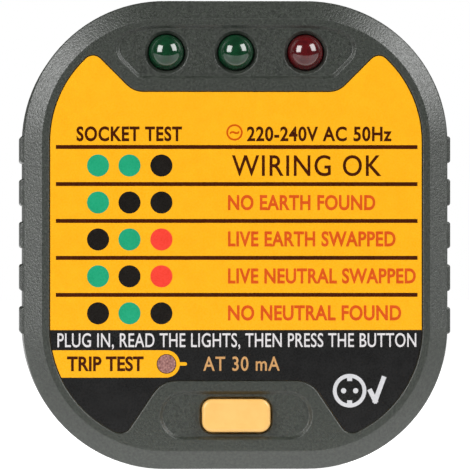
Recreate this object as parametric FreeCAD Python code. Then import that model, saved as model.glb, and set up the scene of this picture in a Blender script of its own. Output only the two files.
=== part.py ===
"""Outlet tester plug: a two-part housing with a round-pin earthed plug on its back.

Three indicator lenses, a trip-test lamp and a trip-test button face the user. Inside, the plug's
pins feed a circuit board that carries the lamps, their dropper resistors and rectifiers, and a
push switch with its load resistor.

X is to the user's right, Y points out of the back along the pins, and Z is up. The origin is the
middle of the plug's end face, which sits against the socket. All sizes are in millimetres.
"""
import FreeCAD
import Part

import math
import os

V = FreeCAD.Vector
ALONG = V(0, 1, 0)
SIDES = (-1, 1)
CORNERS = ((-1, -1), (1, -1), (1, 1), (-1, 1))

# Housing
body_width = 67.1
body_height = 74.0
corner_radius = 22.3
front_depth = 21.0
rear_depth = 9.0
wall = 2.0
bezel_width = 2.85
bezel_depth = 1.65
edge_softening = 0.3
rear_bevel = 5.0
rear_rounding = 1.5
parting_bevel = 0.25
lip_thickness = 0.9
lip_height = 2.0
lip_gap = 0.1

# Grip ribs on the sides of the front cover
rib_count = 5
rib_pitch = 6.76
rib_length = 4.27
rib_proud = 0.5
rib_rounding = 0.45
rib_setback = 0.6

# Label and the two pockets that its outline goes round
label_inset = 4.2
label_recess = 0.45
label_thickness = 0.3
label_gap = 0.15
rim_bevel = 0.12
lamp_bite = {"side": 1, "floor": 14.42, "half_width": 16.2, "slope": 45, "corner": 3.7, "tip": 1.6}
button_bite = {"side": -1, "floor": 14.1, "half_width": 11.8, "slope": 56, "corner": 4.45, "tip": 1.9}
pocket_depth = 0.5
lamp_pocket_inset = 3.86
lamp_pocket_land = 2.1
lamp_pocket_end = 2.9
button_pocket_width = 24.15
button_pocket_height = 7.69

# Indicator lenses
lamp_pitch = 11.0
lamp_below_top = 8.14
lens_radius = 2.85
lens_barrel = 0.4
lens_gap = 0.1
lens_flange = 0.8
lens_flange_width = 0.85
lens_bore_radius = 1.7
lens_bore_depth = 1.7
lens_ring_wall = 0.7
countersink_width = 0.5
countersink_depth = 0.5
mouth_rounding = 0.2

# Trip-test lamp window
trip_x = -11.0
trip_above_bottom = 16.65
trip_radius = 1.45
trip_flange_width = 0.75

# Trip-test button
button_above_bottom = 8.5
button_width = 10.77
button_height = 5.2
button_corner = 1.6
button_proud = 1.0
button_rounding = 0.55
button_gap = 0.27
button_flange = 0.8
button_flange_width = 0.9
button_travel = 1.0
button_stem_radius = 1.6
button_stem_length = 1.5
moving_gap = 0.05

# Plug
nose_length = 18.0
nose_radius = 18.75
nose_rounding = 1.2
nose_step = 1.0
retainer_thickness = 2.0
retainer_ear_radius = 3.2
retainer_ear_gap = 1.05
end_wall = 3.0
pin_spacing = 19.0
pin_radius = 2.4
pin_length = 19.0
pin_tip_rounding = 2.0
pin_root_radius = 2.8
pin_collar_radius = 4.0
pin_collar_length = 4.0
pin_shank_radius = 1.75
pin_shank_length = 5.5
solder_cup_radius = 1.0
solder_cup_depth = 4.0
earth_notch_width = 10.0
earth_notch_floor = 15.2
guide_groove_width = 5.4
guide_groove_depth = 2.4
clamp_gap = 0.35
clamp_thickness = 2.5
clamp_screw_z = 9.5
tower_radius = 3.2
strap_width = 6.5
strap_thickness = 0.8
strap_end_gap = 1.0
strap_bend = 1.0
contact_bulge = 0.5
contact_bulge_radius = 7.0
contact_bulge_y = -8.0
fit_gap = 0.1
touch_gap = 0.05

# Circuit board, measured back from the inside of the front wall
board_clear = 7.6
board_thickness = 1.6
board_margin = 2.5
boss_clear = 1.5
lead_hole_gap = 0.15
lead_proud = 1.2
solder_radius = 0.95
solder_height = 0.9

# Screw bosses
boss_radius = 3.0
boss_from_edge = 9.2
rear_post_radius = 4.2
counterbore_radius = 3.2
counterbore_depth = 2.6
board_post_radius = 2.6
board_post_inset = 9.55
board_support_radius = 1.6

# Screws: shank radius, length under the head, head radius, head height
housing_screw = {"shank": 1.45, "length": 16.0, "head": 2.8, "head_height": 2.0}
board_screw = {"shank": 1.1, "length": 6.0, "head": 2.1, "head_height": 1.5}
nose_screw = {"shank": 1.1, "length": 5.0, "head": 2.1, "head_height": 1.5}
clamp_screw = {"shank": 1.3, "length": 6.5, "head": 2.5, "head_height": 1.7}
earth_screw_size = {"shank": 1.45, "length": 6.5, "head": 2.5, "head_height": 1.6}

# Light-emitting diodes
led_radius = 1.5
led_length = 5.3
led_flange_radius = 1.9
led_flange_height = 0.9
led_lead_radius = 0.25
led_lead_pitch = 2.54
led_spacer_radius = 2.1

# Push switch behind the button
switch_width = 7.0
switch_height = 3.6
switch_wall = 0.6
switch_floor = 0.8
switch_cover_thickness = 0.4
plunger_radius = 1.7
plunger_flange_radius = 2.3
plunger_flange = 0.6
plunger_rounding = 0.2
bridge_length = 5.0
bridge_width = 1.6
bridge_thickness = 0.25
contact_pad = 1.0
contact_x = 2.0
spring_seat = 0.4
spring_radius = 1.0
spring_wire = 0.12
spring_turns = 3
arcs_per_turn = 8
terminal_x = 3.9
terminal_z = 2.25
terminal_size = 0.7

# Board components: body radius, body length, lead pitch, lead radius
dropper = {"radius": 1.5, "length": 9.0, "pitch": 15.0, "lead": 0.35}
dropper_count = 3
dropper_step = 4.0
dropper_below_lamps = 4.4
diode = {"radius": 1.35, "length": 5.2, "pitch": 10.16, "lead": 0.4}
diode_x = 19.0
diode_rows = (8.0, 14.0)
load_length = 22.0
load_thickness = 9.0
load_z = -14.0
load_pitch = 27.0
load_lead_radius = 0.4
load_lift = 0.5
load_rounding = 0.6
component_lift = 0.3

# Wires
wire_radius = 0.8
core_radius = 0.45
strip_length = 1.2
wire_bow = 1.6
tag_barrel_length = 3.3
tag_barrel_radius = 1.35

# Stations along Y, from the socket forwards
shoulder_y = -nose_length
shoulder_inner_y = shoulder_y - wall
nose_front_y = shoulder_inner_y - wall
retainer_front_y = nose_front_y - retainer_thickness
parting_y = shoulder_y - rear_depth
face_y = parting_y - front_depth
inner_face_y = face_y + wall
pocket_y = face_y + pocket_depth
label_floor_y = face_y + label_recess
label_front_y = label_floor_y - label_thickness
board_front_y = inner_face_y + board_clear
board_back_y = board_front_y + board_thickness
collar_front_y = -end_wall - pin_collar_length
shank_front_y = collar_front_y - pin_shank_length
clamp_front_y = collar_front_y - clamp_thickness
strap_back_y = shoulder_inner_y - touch_gap
strap_front_y = strap_back_y - strap_thickness
tag_front_y = strap_front_y - strap_thickness
lens_flange_y = inner_face_y + lens_flange
switch_top_y = board_front_y - switch_height
switch_floor_y = board_front_y - switch_floor
button_flange_front_y = inner_face_y + moving_gap
button_flange_back_y = button_flange_front_y + button_flange
button_stem_y = button_flange_back_y + button_stem_length
plunger_tip_y = button_stem_y + moving_gap
plunger_flange_y = switch_top_y + switch_cover_thickness + moving_gap
bridge_y = plunger_flange_y + plunger_flange
contact_top_y = bridge_y + bridge_thickness + button_travel + moving_gap
spring_seat_y = switch_floor_y + spring_seat

# Places on the face, as (x, z)
lamp_z = body_height / 2 - lamp_below_top
lamp_places = [(column * lamp_pitch, lamp_z) for column in (-1, 0, 1)]
trip_place = (trip_x, trip_above_bottom - body_height / 2)
button_z = button_above_bottom - body_height / 2
corner_centre = (body_width / 2 - corner_radius, body_height / 2 - corner_radius)
boss_reach = (corner_radius - boss_from_edge) / math.sqrt(2)
boss_x = corner_centre[0] + boss_reach
boss_z = corner_centre[1] + boss_reach
boss_places = [(boss_x * x_side, boss_z * z_side) for x_side, z_side in CORNERS]
board_post_x = body_width / 2 - board_post_inset
board_post_places = [(board_post_x * side, 0.0) for side in SIDES]
board_supports = [(side * support_x, z) for side in SIDES
                  for support_x, z in ((12.5, button_z), (14.0, lamp_z - 8.9))]
pin_x = pin_spacing / 2
ear_x = nose_radius + nose_step + retainer_ear_radius + retainer_ear_gap
ear_places = [(ear_x * side, 0.0) for side in SIDES]
clamp_screw_places = [(0.0, clamp_screw_z * side) for side in SIDES]
wire_pads = {"live": (pin_x, 2.0), "neutral": (-pin_x, 2.0), "earth": (0.0, 11.0)}


# ---- Shapes

def post(radius, y0, y1, place=(0.0, 0.0)):
    """Round bar along Y between two depths."""
    return Part.makeCylinder(radius, y1 - y0, V(place[0], y0, place[1]), ALONG)


def taper(radius0, radius1, y0, y1, place=(0.0, 0.0)):
    """Cone along Y from one radius to another."""
    return Part.makeCone(radius0, radius1, y1 - y0, V(place[0], y0, place[1]), ALONG)


def bar(x_range, y_range, z_range):
    """Plain rectangular block between three pairs of limits."""
    low = V(x_range[0], y_range[0], z_range[0])
    size = V(x_range[1], y_range[1], z_range[1]) - low
    return Part.makeBox(size.x, size.y, size.z, low)


def centred_bar(width, height, y0, y1, place=(0.0, 0.0)):
    """Rectangular block along Y round a place on the face."""
    x, z = place
    return bar((x - width / 2, x + width / 2), (y0, y1), (z - height / 2, z + height / 2))


def fused(shapes):
    """One solid from several that overlap."""
    return shapes[0].multiFuse(shapes[1:]).removeSplitter()


def group(shapes):
    """Separate solids kept in one piece."""
    return Part.makeCompound(shapes)


def corner_directions(points, i):
    """Unit vectors from a point towards the ones before and after it."""
    to_before = (points[i - 1] - points[i]).normalize()
    to_after = (points[(i + 1) % len(points)] - points[i]).normalize()
    return to_before, to_after


def rounded_line(points, reaches, closed):
    """Wire of straight runs joined by tangent arcs, each arc starting its reach from its corner."""
    stops = []
    for i, here in enumerate(points):
        if reaches[i] == 0:
            stops.append((here, None, here))
            continue
        to_before, to_after = corner_directions(points, i)
        half_angle = to_before.getAngle(to_after) / 2
        radius = reaches[i] * math.tan(half_angle)
        inward = (to_before + to_after).normalize()
        middle = here + inward * (radius / math.sin(half_angle) - radius)
        stops.append((here + to_before * reaches[i], middle, here + to_after * reaches[i]))
    edges = []
    for i, (start, middle, end) in enumerate(stops):
        if middle:
            edges.append(Part.Arc(start, middle, end).toShape())
        if i == len(stops) - 1 and not closed:
            break
        next_start = stops[(i + 1) % len(stops)][0]
        if end.distanceToPoint(next_start) > 1e-6:
            edges.append(Part.LineSegment(end, next_start).toShape())
    return Part.Wire(edges)


def outline(corners, y):
    """Closed wire at one depth that turns at (x, z, radius) corners."""
    points = [V(x, y, z) for x, z, _ in corners]
    reaches = []
    for i, (_, _, radius) in enumerate(corners):
        to_before, to_after = corner_directions(points, i)
        reaches.append(radius / math.tan(to_before.getAngle(to_after) / 2))
    return rounded_line(points, reaches, closed=True)


def prism(corners, y0, y1):
    """Solid between two depths whose outline turns at (x, z, radius) corners."""
    return Part.Face(outline(corners, y0)).extrude(V(0, y1 - y0, 0))


def rounded_rectangle(width, height, radius, place=(0.0, 0.0)):
    """Corners of a rounded rectangle round a place on the face."""
    return [(place[0] + x * width / 2, place[1] + z * height / 2, radius) for x, z in CORNERS]


def rounded_block(width, height, radius, y0, y1, place=(0.0, 0.0)):
    """Block along Y with rounded corners."""
    return prism(rounded_rectangle(width, height, radius, place), y0, y1)


def body_corners(inset):
    """Corners of the housing's outline, moved in by an inset."""
    return rounded_rectangle(body_width - 2 * inset, body_height - 2 * inset, corner_radius - inset)


def body_block(inset, y0, y1):
    """Block with the housing's outline, moved in by an inset."""
    return prism(body_corners(inset), y0, y1)


def body_taper(inset0, y0, inset1, y1):
    """Block whose outline changes evenly from one inset to another."""
    wires = [outline(body_corners(inset0), y0), outline(body_corners(inset1), y1)]
    return Part.makeLoft(wires, True, True)


def edges_at(shape, y):
    """Edges that lie wholly at one depth."""
    return [e for e in shape.Edges if all(abs(p.y - y) < 1e-4 for p in e.discretize(3))]


def runs_along_y(edge):
    """Whether an edge is straight and parallel to Y."""
    if edge.Curve.TypeId != "Part::GeomLine":
        return False
    return abs(abs(edge.tangentAt(edge.FirstParameter).y) - 1) < 1e-6


def is_sharp(shape, edge):
    """Whether the two faces that meet at an edge turn by more than a few degrees."""
    point = edge.valueAt((edge.FirstParameter + edge.LastParameter) / 2)
    normals = []
    for face in shape.ancestorsOfType(edge, Part.Face):
        u, v = face.Surface.parameter(point)
        normals.append(face.normalAt(u, v))
    return normals[0].getAngle(normals[1]) > math.radians(5)


def round_sharp_corners(shape, radius, side=0):
    """Round the outline's sharp corners: all of them, or those above or below the middle."""
    edges = []
    for edge in shape.Edges:
        if side * edge.CenterOfMass.z >= 0 and runs_along_y(edge) and is_sharp(shape, edge):
            edges.append(edge)
    return shape.makeFillet(radius, edges)


def half_ball(radius, y, place):
    """Half ball whose flat side is at y and whose crown points at the user."""
    return Part.makeSphere(radius, V(place[0], y, place[1]), -ALONG, 0, 90, 360)


def dome(radius, tip_y, base_y, place):
    """Round bar with a half ball on its front end."""
    centre_y = tip_y + radius
    return fused([post(radius, centre_y, base_y, place), half_ball(radius, centre_y, place)])


def screw(place, seat_y, into, size):
    """Pan-head screw with a cross recess; its shank runs from the seat along Y by the sign of into."""
    head = post(size["head"], 0, size["head_height"])
    head = head.makeFillet(size["head_height"] * 0.45, edges_at(head, size["head_height"]))
    shank = post(size["shank"], -size["length"], 0)
    shank = shank.makeChamfer(size["shank"] * 0.6, edges_at(shank, -size["length"]))
    shape = fused([head, shank])
    arm = size["head"] * 1.1
    slot = size["head"] * 0.28
    recess_y = size["head_height"] * 0.4
    for width, height in ((arm, slot), (slot, arm)):
        shape = shape.cut(centred_bar(width, height, recess_y, size["head_height"] + 1))
    if into > 0:
        shape.rotate(V(0, 0, 0), V(1, 0, 0), 180)
    shape.translate(V(place[0], seat_y, place[1]))
    return shape


def bent_tube(name, radius, points):
    """Tube along straight runs joined by tangent arcs, as large as the shorter run beside each allows."""
    points = [V(*point) for point in points]
    reaches = [0.0] * len(points)
    for i in range(1, len(points) - 1):
        runs = (points[i].distanceToPoint(points[i - 1]), points[i].distanceToPoint(points[i + 1]))
        reaches[i] = 0.45 * min(runs)
        to_before, to_after = corner_directions(points, i)
        bend = reaches[i] * math.tan(to_before.getAngle(to_after) / 2)
        print(f"{name}: bend radius {bend:.1f} mm")
    path = rounded_line(points, reaches, closed=False)
    direction = points[1] - points[0]
    section = Part.Wire(Part.makeCircle(radius, points[0], direction))
    tube = path.makePipeShell([section], True, False)
    expected = math.pi * radius ** 2 * path.Length
    print(f"{name}: {path.Length:.1f} mm long, volume {tube.Volume / expected:.4f} of section times length")
    return tube


def coil_spring(radius, wire, turns, y0, y1, place):
    """Compression spring along Y, its coil a chain of short tangent arcs."""
    count = turns * arcs_per_turn
    step = 2 * math.pi / arcs_per_turn
    corner = radius / math.cos(step / 2)
    rise = (y1 - y0 - 2 * wire) / count
    points = [V(place[0] + corner * math.cos(i * step), y0 + wire + i * rise,
                place[1] + corner * math.sin(i * step)) for i in range(count + 1)]
    reach = 0.49 * points[0].distanceToPoint(points[1])
    path = rounded_line(points, [0.0] + [reach] * (count - 1) + [0.0], closed=False)
    section = Part.Wire(Part.makeCircle(wire, points[0], points[1] - points[0]))
    return path.makePipeShell([section], True, False)


# ---- Outlines on the face

def bite_block(bite, shrink, y0, y1):
    """The space that a bite takes out of the label, moved in by shrink on its floor and its slopes."""
    slope = math.radians(bite["slope"])
    half = bite["half_width"] - shrink * math.tan(slope / 2)
    floor = body_height / 2 - bite["floor"] + shrink
    radius = bite["corner"] - shrink
    rise = body_height / 2
    spread = half + rise / math.tan(slope)
    corners = [(-half, floor, radius), (half, floor, radius), (spread, floor + rise, 0),
               (-spread, floor + rise, 0)]
    return prism([(x, z * bite["side"], r) for x, z, r in corners], y0, y1)


def label_block(grow, y0, y1):
    """Block with the label's outline, grown all round."""
    block = body_block(label_inset - grow, y0, y1)
    for bite in (lamp_bite, button_bite):
        block = block.cut(bite_block(bite, grow, y0 - 1, y1 + 1))
        block = round_sharp_corners(block, bite["tip"] + grow, bite["side"])
    return block


def lamp_pocket_block(grow, y0, y1):
    """Block with the outline of the pocket round the lenses, grown all round."""
    block = body_block(lamp_pocket_inset - grow, y0, y1)
    block = block.common(bite_block(lamp_bite, lamp_pocket_land - grow, y0 - 1, y1 + 1))
    return round_sharp_corners(block, lamp_pocket_end + grow)


def button_pocket_block(grow, y0, y1):
    """Block with the outline of the pocket round the button, grown all round."""
    width = button_pocket_width + 2 * grow
    height = button_pocket_height + 2 * grow
    return rounded_block(width, height, height / 2, y0, y1, (0.0, button_z))


def label_rim_block(grow, y0, y1):
    """Block with the outline of the label recess's bevelled rim, grown all round."""
    return label_block(label_gap + rim_bevel + grow, y0, y1)


def button_rim_block(grow, y0, y1):
    """Block with the outline of the button opening's bevelled rim, grown all round."""
    margin = button_gap + rim_bevel + grow
    return rounded_block(button_width + 2 * margin, button_height + 2 * margin, button_corner + margin,
                         y0, y1, (0.0, button_z))


def sloped_tool(block, depth, top_y):
    """Tool with 45 degree walls that meet the plane top_y at the block's own outline."""
    tool = block(depth, top_y - 2 * depth, top_y + depth)
    return tool.makeChamfer(2 * depth, edges_at(tool, top_y + depth))


# ---- Housing

def inner_bevel(bevel):
    """Bevel inside a wall that keeps the wall's thickness behind an outer bevel."""
    return max(bevel - wall * (2 - math.sqrt(2)), edge_softening)


def grip_ribs():
    """Rounded ribs down both sides of the front cover."""
    ribs = []
    for side in SIDES:
        for i in range(rib_count):
            z = (i - (rib_count - 1) / 2) * rib_pitch
            root = side * (body_width / 2 - wall / 2)
            crest = side * (body_width / 2 + rib_proud)
            corners = [(root, z - rib_length / 2, 0), (crest, z - rib_length / 2, rib_rounding),
                       (crest, z + rib_length / 2, rib_rounding), (root, z + rib_length / 2, 0)]
            front_y = face_y + bezel_depth + rib_setback
            rib = prism(corners, front_y, parting_y - parting_bevel)
            ribs.append(rib.makeFillet(rib_rounding * 0.9, edges_at(rib, front_y)))
    return ribs


def lens_mouth(place):
    """What the countersunk, rounded mouth of a lens hole takes away, up to the face."""
    bore = lens_radius + lens_gap
    mouth = bore + countersink_width
    half_angle = (math.pi / 2 + math.atan2(countersink_width, countersink_depth)) / 2
    reach = mouth_rounding / math.tan(half_angle)
    turns = [(0, -pocket_depth), (mouth + reach, -pocket_depth), (mouth + reach, 0), (mouth, 0),
             (bore, countersink_depth), (0, countersink_depth)]
    points = [V(place[0] + r, pocket_y + y, place[1]) for r, y in turns]
    profile = Part.Face(rounded_line(points, [0, 0, 0, reach, 0, 0], closed=True))
    return profile.revolve(V(place[0], 0, place[1]), ALONG, 360)


def front_cover():
    """Front shell with the bezel, ribs, pockets, screw bosses and board posts."""
    bezel_y = face_y + bezel_depth
    shell = fused([body_taper(bezel_width, face_y, 0, bezel_y), body_block(0, bezel_y, parting_y)])
    shell = shell.makeFillet(edge_softening, edges_at(shell, face_y) + edges_at(shell, bezel_y))
    shell = shell.makeChamfer(parting_bevel, edges_at(shell, parting_y))
    shell = fused([shell] + grip_ribs())
    cavity = body_block(wall, inner_face_y, parting_y + 1)
    cavity = cavity.makeChamfer(inner_bevel(bezel_depth), edges_at(cavity, inner_face_y))
    shell = shell.cut(cavity)

    root_y = inner_face_y - wall / 4
    bosses = [post(boss_radius, root_y, parting_y - fit_gap, place) for place in boss_places]
    posts = [post(board_post_radius, root_y, board_front_y, place) for place in board_post_places]
    supports = [post(board_support_radius, root_y, board_front_y - touch_gap, place)
                for place in board_supports]
    rings = []
    for place in lamp_places:
        inside = lens_radius + lens_flange_width + fit_gap
        ring = post(inside + lens_ring_wall, root_y, lens_flange_y + touch_gap, place)
        rings.append(ring.cut(post(inside, root_y, lens_flange_y + 1, place)))
    shell = fused([shell] + bosses + posts + supports + rings)

    shell = shell.cut(label_block(label_gap, face_y - 1, label_floor_y))
    shell = shell.cut(sloped_tool(label_rim_block, rim_bevel, face_y))
    shell = shell.cut(sloped_tool(lamp_pocket_block, pocket_depth, face_y))
    shell = shell.cut(sloped_tool(button_pocket_block, pocket_depth, face_y))
    shell = shell.cut(sloped_tool(button_rim_block, rim_bevel, pocket_y))
    holes = []
    for place in lamp_places:
        holes.append(post(lens_radius + lens_gap, pocket_y - 1, inner_face_y + 1e-3, place))
        holes.append(lens_mouth(place))
    holes.append(post(trip_radius + fit_gap, face_y - 1, inner_face_y + 1, trip_place))
    holes.append(rounded_block(button_width + 2 * button_gap, button_height + 2 * button_gap,
                               button_corner + button_gap, face_y - 1, inner_face_y + 1, (0.0, button_z)))
    screw_y = parting_y - (housing_screw["length"] - rear_depth + counterbore_depth) - 1
    holes += [post(housing_screw["shank"] + touch_gap, screw_y, parting_y, place)
              for place in boss_places]
    holes += [post(board_screw["shank"] + touch_gap, inner_face_y + 1, board_front_y, place)
              for place in board_post_places]
    return shell.cut(holes[0].multiFuse(holes[1:]))


def lip():
    """Thin wall on the rear cover that locates inside the front cover."""
    inside = body_block(wall + lip_gap + lip_thickness, parting_y - lip_height - 1, shoulder_y)
    tongue = body_block(wall + lip_gap, parting_y - lip_height, parting_y + wall / 2)
    root = body_block(wall / 2, parting_y, parting_y + wall / 2)
    return fused([tongue, root]).cut(inside)


def earth_notch(side, width, floor, start_y):
    """Block over the flat where an earth contact runs, on the top or bottom of the nose."""
    limits = sorted((side * floor, side * (nose_radius + 2 * nose_step)))
    return bar((-width / 2, width / 2), (start_y, 1), limits)


def guide_groove(side, width, floor, start_y):
    """Block over the groove on the left or right of the nose."""
    limits = sorted((side * floor, side * (nose_radius + 2 * nose_step)))
    return bar(limits, (start_y, 1), (-width / 2, width / 2))


def rear_cover():
    """Rear shell with its shoulder, a round opening for the plug's nose, and the screw posts."""
    shell = body_block(0, parting_y, shoulder_y)
    shell = shell.makeChamfer(rear_bevel, edges_at(shell, shoulder_y))
    shell = shell.makeFillet(rear_rounding, edges_at(shell, shoulder_y)
                             + edges_at(shell, shoulder_y - rear_bevel))
    shell = shell.makeChamfer(parting_bevel, edges_at(shell, parting_y))
    cavity = body_block(wall, parting_y - 1, shoulder_inner_y)
    cavity = cavity.makeChamfer(inner_bevel(rear_bevel), edges_at(cavity, shoulder_inner_y))
    posts = [post(rear_post_radius, parting_y, shoulder_y - counterbore_depth / 2, place)
             for place in boss_places]
    ear_bosses = [post(retainer_ear_radius, nose_front_y, shoulder_y - wall / 4, place)
                  for place in ear_places]
    shell = fused([shell.cut(cavity), lip()] + posts + ear_bosses)

    holes = [post(nose_radius + fit_gap, nose_front_y, shoulder_y + 1)]
    for place in boss_places:
        holes.append(post(housing_screw["shank"] + fit_gap, parting_y - 1, shoulder_y + 1, place))
        holes.append(post(counterbore_radius, shoulder_y - counterbore_depth, shoulder_y + 1, place))
    holes += [post(nose_screw["shank"] + touch_gap, nose_front_y - 1, shoulder_y - wall / 3, place)
              for place in ear_places]
    return shell.cut(holes[0].multiFuse(holes[1:]))


def plug_nose():
    """Round moulding of the plug, with an end wall, notches and grooves, and a step behind the cover."""
    tube = post(nose_radius, nose_front_y, 0)
    tube = tube.makeFillet(nose_rounding, edges_at(tube, 0))
    step = post(nose_radius + nose_step, nose_front_y, shoulder_inner_y)
    outside = fused([tube, step])
    groove_floor = nose_radius - guide_groove_depth
    hollow = post(nose_radius - wall, nose_front_y - 1, -end_wall)
    for side in SIDES:
        notch = earth_notch(side, earth_notch_width, earth_notch_floor, shoulder_y)
        groove = guide_groove(side, guide_groove_width, groove_floor, shoulder_y)
        outside = outside.cut(notch).cut(groove)
        notch_wall = earth_notch(side, earth_notch_width + 2 * wall, earth_notch_floor - wall,
                                 shoulder_inner_y)
        groove_wall = guide_groove(side, guide_groove_width + 2 * wall, groove_floor - wall,
                                   shoulder_inner_y)
        hollow = hollow.cut(notch_wall).cut(groove_wall)
    clamp_hole = clamp_screw["shank"] + touch_gap
    clamp_bosses = [post(2 * clamp_hole, collar_front_y, -end_wall / 2, place)
                    for place in clamp_screw_places]
    nose = fused([outside.cut(hollow)] + clamp_bosses)

    holes = [post(clamp_hole, collar_front_y - 1, -end_wall / 2, place) for place in clamp_screw_places]
    for side in SIDES:
        holes.append(post(pin_root_radius + fit_gap, -end_wall - 1, 1, (side * pin_x, 0.0)))
        low = earth_notch_floor
        limits = sorted((side * low, side * (low + strap_thickness + 2 * touch_gap)))
        half_slot = strap_width / 2 + fit_gap
        holes.append(bar((-half_slot, half_slot), (shoulder_inner_y - 1, shoulder_y + 1), limits))
    return nose.cut(holes[0].multiFuse(holes[1:]))


def nose_retainer():
    """Ring with two ears that clamps the nose's step against the inside of the rear cover."""
    ring = post(nose_radius + nose_step, retainer_front_y, nose_front_y)
    ears = [post(retainer_ear_radius, retainer_front_y, nose_front_y, place) for place in ear_places]
    arms = centred_bar(2 * ear_x, 2 * retainer_ear_radius, retainer_front_y, nose_front_y)
    plate = fused([ring, arms] + ears)
    plate = plate.cut(post(nose_radius - wall, retainer_front_y - 1, nose_front_y + 1))
    for place in ear_places:
        hole = post(nose_screw["shank"] + fit_gap, retainer_front_y - 1, nose_front_y + 1, place)
        plate = plate.cut(hole)
    return plate


def nose_screws():
    """Two screws through the retainer's ears into the rear cover."""
    return group([screw(place, retainer_front_y, 1, nose_screw) for place in ear_places])


def face_label():
    """Printed film in the recess on the face."""
    film = label_block(0, label_front_y, label_floor_y)
    return film.cut(post(trip_radius + fit_gap, label_front_y - 1, label_floor_y + 1, trip_place))


def lens(place):
    """Domed indicator lens, pushed in from behind up to its flange."""
    dome_y = inner_face_y - lens_barrel
    crown = fused([half_ball(lens_radius, dome_y, place), post(lens_radius, dome_y, lens_flange_y, place)])
    flange = post(lens_radius + lens_flange_width, inner_face_y, lens_flange_y, place)
    bore = dome(lens_bore_radius, lens_flange_y - lens_bore_depth, lens_flange_y + 1, place)
    return fused([crown, flange]).cut(bore)


def trip_lens():
    """Short light pipe that ends level with the label."""
    pipe = post(trip_radius, label_front_y, lens_flange_y, trip_place)
    flange = post(trip_radius + trip_flange_width, inner_face_y, lens_flange_y, trip_place)
    return fused([pipe, flange])


def test_button():
    """Push button with a flange behind the front wall and a stem that reaches the switch."""
    place = (0.0, button_z)
    front_y = face_y - button_proud
    cap = rounded_block(button_width, button_height, button_corner, front_y, button_flange_back_y, place)
    cap = cap.makeFillet(button_rounding, edges_at(cap, front_y))
    flange = rounded_block(button_width + 2 * button_flange_width, button_height + 2 * button_flange_width,
                           button_corner, button_flange_front_y, button_flange_back_y, place)
    stem = post(button_stem_radius, button_flange_back_y - 0.1, button_stem_y, place)
    return fused([cap, flange, stem])


def housing_screws():
    """Four screws from the back into the front cover's bosses."""
    seat_y = shoulder_y - counterbore_depth
    return group([screw(place, seat_y, -1, housing_screw) for place in boss_places])


# ---- Plug

def pin(side):
    """Round contact pin with its root, collar and solder cup."""
    place = (side * pin_x, 0.0)
    root_y = -fit_gap
    blade = post(pin_radius, root_y, pin_length, place)
    blade = blade.makeFillet(pin_tip_rounding, edges_at(blade, pin_length))
    root = post(pin_root_radius, -end_wall, root_y, place)
    collar = post(pin_collar_radius, collar_front_y, -end_wall, place)
    shank = post(pin_shank_radius, shank_front_y, collar_front_y, place)
    cup = post(solder_cup_radius, shank_front_y - 1, shank_front_y + solder_cup_depth, place)
    return fused([blade, root, collar, shank]).cut(cup)


def pin_clamp():
    """Insulating plate that holds both pins against the end wall, with a tower for the earth screw."""
    radius = nose_radius - guide_groove_depth - wall - clamp_gap
    flat = earth_notch_floor - wall - clamp_gap
    plate = post(radius, clamp_front_y, collar_front_y)
    plate = plate.common(bar((-radius, radius), (clamp_front_y, collar_front_y), (-flat, flat)))
    tower = post(tower_radius, strap_back_y, clamp_front_y)
    clamp = fused([plate, tower])
    for side in SIDES:
        hole = post(pin_shank_radius + fit_gap, clamp_front_y - 1, collar_front_y + 1, (side * pin_x, 0.0))
        clamp = clamp.cut(hole)
    for place in clamp_screw_places:
        hole = post(clamp_screw["shank"] + fit_gap, clamp_front_y - 1, collar_front_y + 1, place)
        clamp = clamp.cut(hole)
    screw_end_y = tag_front_y + earth_screw_size["length"] + 1
    return clamp.cut(post(earth_screw_size["shank"] + touch_gap, strap_back_y - 1, screw_end_y))


def clamp_screws():
    """Two screws through the clamp into the end wall."""
    return group([screw(place, clamp_front_y, 1, clamp_screw) for place in clamp_screw_places])


def earth_strap():
    """Bent strip whose two legs run along the nose and meet the socket's earth contacts."""
    low = earth_notch_floor + touch_gap
    high = low + strap_thickness
    half = strap_width / 2
    end_y = -strap_end_gap
    outer = bar((-half, half), (strap_front_y, end_y), (-high, high))
    across = [edge for edge in edges_at(outer, strap_front_y) if abs(edge.tangentAt(0).x) > 0.9]
    outer = outer.makeFillet(strap_bend, across)
    inner = bar((-half - 1, half + 1), (strap_back_y, end_y + 1), (-low, low))
    strap = outer.cut(inner)
    bulge_z = high + contact_bulge - contact_bulge_radius
    for side in SIDES:
        centre = V(-half, contact_bulge_y, side * bulge_z)
        bulge = Part.makeCylinder(contact_bulge_radius, strap_width, centre, V(1, 0, 0))
        limits = sorted((side * low, side * (high + contact_bulge)))
        strap = strap.fuse(bulge.common(bar((-half, half), (strap_back_y + 1, end_y), limits)))
    hole = post(earth_screw_size["shank"] + fit_gap, strap_front_y - 1, strap_back_y + 1)
    return strap.removeSplitter().cut(hole)


def earth_tag():
    """Ring terminal crimped on the earth wire."""
    ring = post(tower_radius, tag_front_y, strap_front_y)
    neck = bar((-tag_barrel_radius * 0.8, tag_barrel_radius * 0.8), (tag_front_y, strap_front_y),
               (0, tower_radius + 1))
    start = V(0, strap_front_y - tag_barrel_radius, tower_radius)
    barrel = Part.makeCylinder(tag_barrel_radius, tag_barrel_length, start, V(0, 0, 1))
    bore = Part.makeCylinder(wire_radius, tag_barrel_length, start, V(0, 0, 1))
    hole = post(earth_screw_size["shank"] + fit_gap, tag_front_y - 1, strap_front_y + 1)
    return fused([ring, neck, barrel]).cut(bore).cut(hole)


def earth_screw():
    """Screw that holds the tag and the strap on the clamp's tower."""
    return screw((0.0, 0.0), tag_front_y, 1, earth_screw_size)


# ---- Circuit board

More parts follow.
